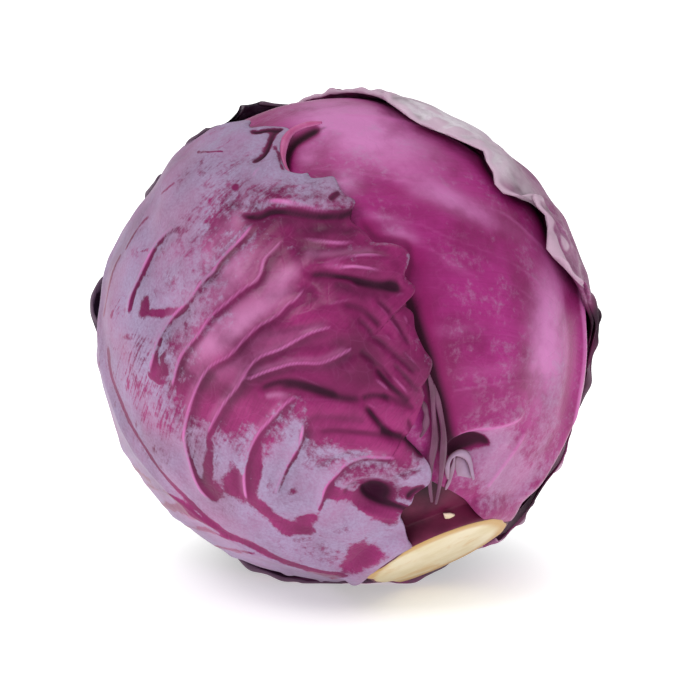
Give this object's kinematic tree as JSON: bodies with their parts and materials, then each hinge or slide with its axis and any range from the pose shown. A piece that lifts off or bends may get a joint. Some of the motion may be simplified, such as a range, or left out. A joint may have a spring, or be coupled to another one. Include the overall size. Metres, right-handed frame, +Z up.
{
  "type": "red cabbage head",
  "caption": "Round head of red cabbage, cut from its stalk and lying on its lower side: wrapper leaves with midribs and waved edges over a dense ball of inner leaves, with a short pale stem stub.",
  "frame": {"origin": "middle of the small flat spot that the head rests on, straight below its centre", "axes": "+Z up from the surface it rests on, -Y towards the side that shows the seam between the two front leaves, +X to that side's right; the stem points down, forward and right"},
  "size_m": [0.1668, 0.1659, 0.1601],
  "materials": {
    "cut_stem": "moist pale cut face with a browned rim",
    "inner_leaf": "smooth dark maroon leaf",
    "magenta_leaf": "smooth glossy leaf, wax rubbed off",
    "waxy_leaf": "satin leaf under a pale lavender wax bloom",
    "pale_leaf": "satin leaf with a pale bloom and wrinkled edge",
    "dark_leaf": "satin dark outer leaf"
  },
  "bodies": {
    "root": {"stem": "cut_stem", "heart_leaves": "inner_leaf", "right_leaf": "magenta_leaf", "left_leaf": "waxy_leaf", "back_right_leaf": "pale_leaf", "back_left_leaf": "dark_leaf"}
  },
  "joints": []
}
